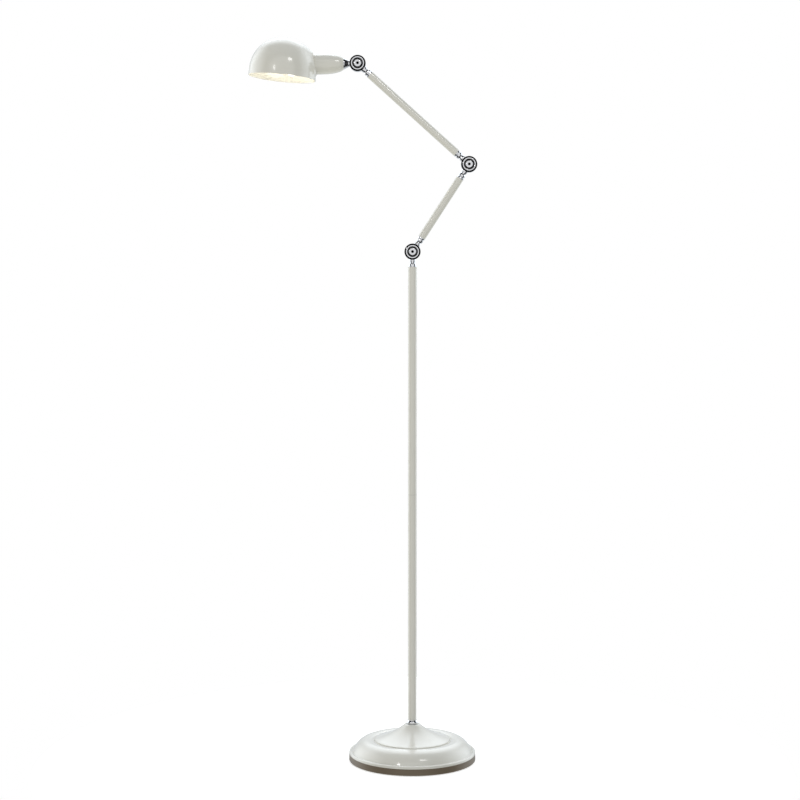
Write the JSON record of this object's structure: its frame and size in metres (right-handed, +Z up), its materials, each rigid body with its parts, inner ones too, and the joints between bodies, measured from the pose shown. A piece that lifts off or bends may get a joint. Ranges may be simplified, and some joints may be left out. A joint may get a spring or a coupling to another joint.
{
  "type": "adjustable arm floor lamp",
  "caption": "Floor lamp with a weighted round base, a slim pole, jointed arms with clamped disc knuckles and a domed shade on a barrel-shaped socket cover.",
  "frame": {"origin": "on the floor, at the centre of the base's flat underside, under the pole's centre line", "axes": "+Z up along the pole; the arms fold in the XZ plane, with the elbow towards +X and the shade towards -X; -Y is the front, where the heads of the knuckle bolts are"},
  "size_m": [0.4795, 0.2734, 1.5298],
  "materials": {
    "paint_ivory": "gloss",
    "chrome_polished": "polished",
    "weight_taupe": "satin",
    "rubber_black": "matt",
    "steel_zinc": "zinc plated",
    "steel_blackened": "blackened",
    "brass_plain": "plain",
    "fibre_dark": "matt",
    "ceramic_white": "satin",
    "insulation_white": "matt",
    "bulb_opal": "opal"
  },
  "bodies": {
    "stand": {"floor_pad": "rubber_black", "weight_plate": "weight_taupe", "base_cover": "paint_ivory", "cord_gland": "rubber_black", "base_nipple": "steel_zinc", "nipple_nut": "steel_zinc", "nipple_washer": "steel_zinc", "pole_collar": "chrome_polished", "pole_foot_plug": "steel_zinc", "lower_pole": "paint_ivory", "pole_coupler": "steel_zinc", "upper_pole": "paint_ivory", "swivel_bush": "chrome_polished", "pole_lead": "insulation_white"},
    "swivel": {"swivel_yoke": "chrome_polished", "swivel_collar": "chrome_polished", "swivel_nut": "steel_zinc", "lower_knuckle_bolt": "chrome_polished", "lower_knuckle_spring_washer": "steel_blackened", "lower_knuckle_friction_washer": "fibre_dark", "lower_knuckle_nut": "chrome_polished"},
    "lower_arm": {"lower_knuckle_back": "chrome_polished", "lower_arm_foot_ferrule": "chrome_polished", "lower_arm_tube": "paint_ivory", "lower_arm_head_ferrule": "chrome_polished", "elbow_front": "chrome_polished", "elbow_bolt": "chrome_polished", "elbow_spring_washer": "steel_blackened", "elbow_friction_washer": "fibre_dark", "elbow_nut": "chrome_polished", "lower_arm_lead": "insulation_white"},
    "upper_arm": {"elbow_back": "chrome_polished", "upper_arm_foot_ferrule": "chrome_polished", "upper_arm_tube": "paint_ivory", "upper_arm_head_ferrule": "chrome_polished", "head_knuckle_front": "chrome_polished", "head_knuckle_bolt": "chrome_polished", "head_knuckle_spring_washer": "steel_blackened", "head_knuckle_friction_washer": "fibre_dark", "head_knuckle_nut": "chrome_polished", "upper_arm_lead": "insulation_white"},
    "head_yoke": {"head_yoke": "chrome_polished", "head_connector": "chrome_polished", "head_washer": "fibre_dark", "head_nut": "steel_zinc", "head_lead": "insulation_white"},
    "head": {"barrel": "paint_ivory", "shade": "paint_ivory", "shade_ring": "ceramic_white", "lampholder": "ceramic_white", "lampholder_shell": "brass_plain", "centre_contact": "brass_plain", "bulb_cap": "steel_zinc", "bulb_glass": "bulb_opal"}
  },
  "joints": [
    {"name": "pole_swivel", "type": "hinge", "parent": "stand", "child": "swivel", "pos_m": [0, 0, 1.0535], "axis": [0, 0, 1], "range_deg": [-175, 175]},
    {"name": "lower_knuckle", "type": "hinge", "parent": "swivel", "child": "lower_arm", "pos_m": [0, 0, 1.084], "axis": [0, 1, 0], "range_deg": [-123, 57]},
    {"name": "elbow", "type": "hinge", "parent": "lower_arm", "child": "upper_arm", "pos_m": [0.11873, 0, 1.26683], "axis": [0, -1, 0], "range_deg": [-211.1, 48.9]},
    {"name": "head_knuckle", "type": "hinge", "parent": "upper_arm", "child": "head_yoke", "pos_m": [-0.11498, 0, 1.47653], "axis": [0, 1, 0], "range_deg": [-86.9, 173.1]},
    {"name": "head_twist", "type": "hinge", "parent": "head_yoke", "child": "head", "pos_m": [-0.11498, 0, 1.47653], "axis": [-0.9998, 0, -0.0209], "range_deg": [-90, 90]}
  ]
}
